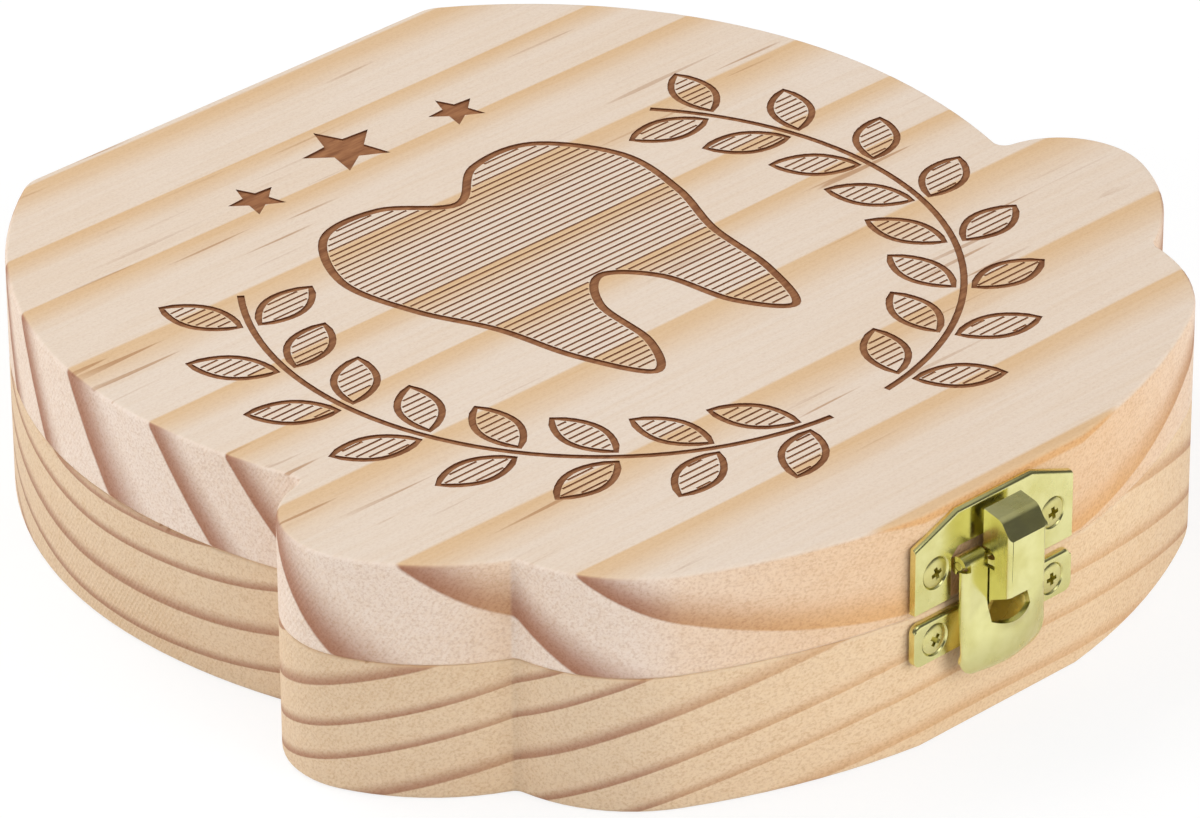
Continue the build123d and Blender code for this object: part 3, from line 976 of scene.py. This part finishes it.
def seen_by_camera(tree):
    """1 for what the camera sees straight, in a reflection or through glass."""
    path = link_node(tree, "ShaderNodeLightPath")
    share = path.outputs["Is Camera Ray"]
    for other in ("Is Glossy Ray", "Is Transmission Ray"):
        share = calc(tree, "MAXIMUM", share, path.outputs[other])
    return share


def floor():
    """A pale floor that keeps a soft shadow. Metal mirrors it darker close to the box, where shade is
    painted over the real shadow.
    """
    work = bmesh.new()
    bmesh.ops.create_grid(work, x_segments=2, y_segments=2, size=floor_size)
    bmesh.ops.translate(work, verts=work.verts, vec=(0, 0, cad_box[0].z - floor_drop))
    material = bpy.data.materials.new("floor")
    material.use_nodes = True
    tree = material.node_tree
    tree.nodes.clear()
    matt = link_node(tree, "ShaderNodeBsdfDiffuse", {"Color": (floor_grey, floor_grey, floor_grey, 1)})
    glow = link_node(tree, "ShaderNodeEmission", {"Color": (1, 1, 1, 1), "Strength": floor_glow})
    path = link_node(tree, "ShaderNodeLightPath")
    white = calc(tree, "MULTIPLY", seen_by_camera(tree), floor_glow_share)
    point = link_node(tree, "ShaderNodeTexCoord").outputs["Object"]
    reach = link_node(tree, "ShaderNodeVectorMath", {0: point}, operation="LENGTH").outputs["Value"]
    # Painted shade: in metal the floor's glow fades close to the box.
    painted_near_shade = fit(tree, reach, mirrored_near, mirrored_far, mirrored_near_painted_shade, mirrored_far_change)
    share = calc(tree, "MULTIPLY_ADD", path.outputs["Is Glossy Ray"], painted_near_shade, white)
    both = link_node(tree, "ShaderNodeMixShader", {0: share, 1: matt.outputs[0], 2: glow.outputs[0]})
    link_node(tree, "ShaderNodeOutputMaterial", {"Surface": both.outputs[0]})
    made = add_object("floor", work, material)


def world():
    """Even grey light from all round, white to the camera. In metal it is bright at the horizon, dim
    over it and grey at the top."""
    made = bpy.data.worlds.new("studio")
    made.use_nodes = True
    bpy.context.scene.world = made
    tree = made.node_tree
    tree.nodes.clear()
    path = link_node(tree, "ShaderNodeLightPath")
    in_metal = path.outputs["Is Glossy Ray"]
    spot = link_node(tree, "ShaderNodeTexCoord")
    height = link_node(tree, "ShaderNodeSeparateXYZ", {0: spot.outputs["Generated"]}).outputs["Z"]
    low_sky = fit(tree, height, 0.02, 0.2, mirrored_horizon, mirrored_sky, smooth=True)
    zenith = fit(tree, height, 0.5, 0.8, 0.0, mirrored_zenith, smooth=True)
    mirrored = calc(tree, "MULTIPLY", calc(tree, "ADD", low_sky, zenith), in_metal)
    strength = calc(tree, "MAXIMUM", path.outputs["Is Camera Ray"], mirrored)
    plain = calc(tree, "MULTIPLY", calc(tree, "SUBTRACT", 1.0, in_metal), sky_light)
    total = calc(tree, "MAXIMUM", strength, plain)
    light = link_node(tree, "ShaderNodeBackground", {"Color": (1, 1, 1, 1), "Strength": total})
    link_node(tree, "ShaderNodeOutputWorld", {"Surface": light.outputs[0]})


def lamp(name, place, size, power, in_metal):
    """A square area lamp that points at lamp_target. Without in_metal it has no mirror image."""
    data = bpy.data.lights.new(name, "AREA")
    data.shape = "SQUARE"
    data.size = size
    data.energy = power
    made = bpy.data.objects.new(name, data)
    made.location = place
    made.visible_glossy = in_metal
    made.rotation_euler = (Vector(lamp_target) - Vector(place)).to_track_quat("-Z", "Y").to_euler()
    bpy.context.scene.collection.objects.link(made)


camera()
floor()
world()
for values in lamps:
    lamp(*values)
bpy.context.scene.view_settings.view_transform = "Standard"
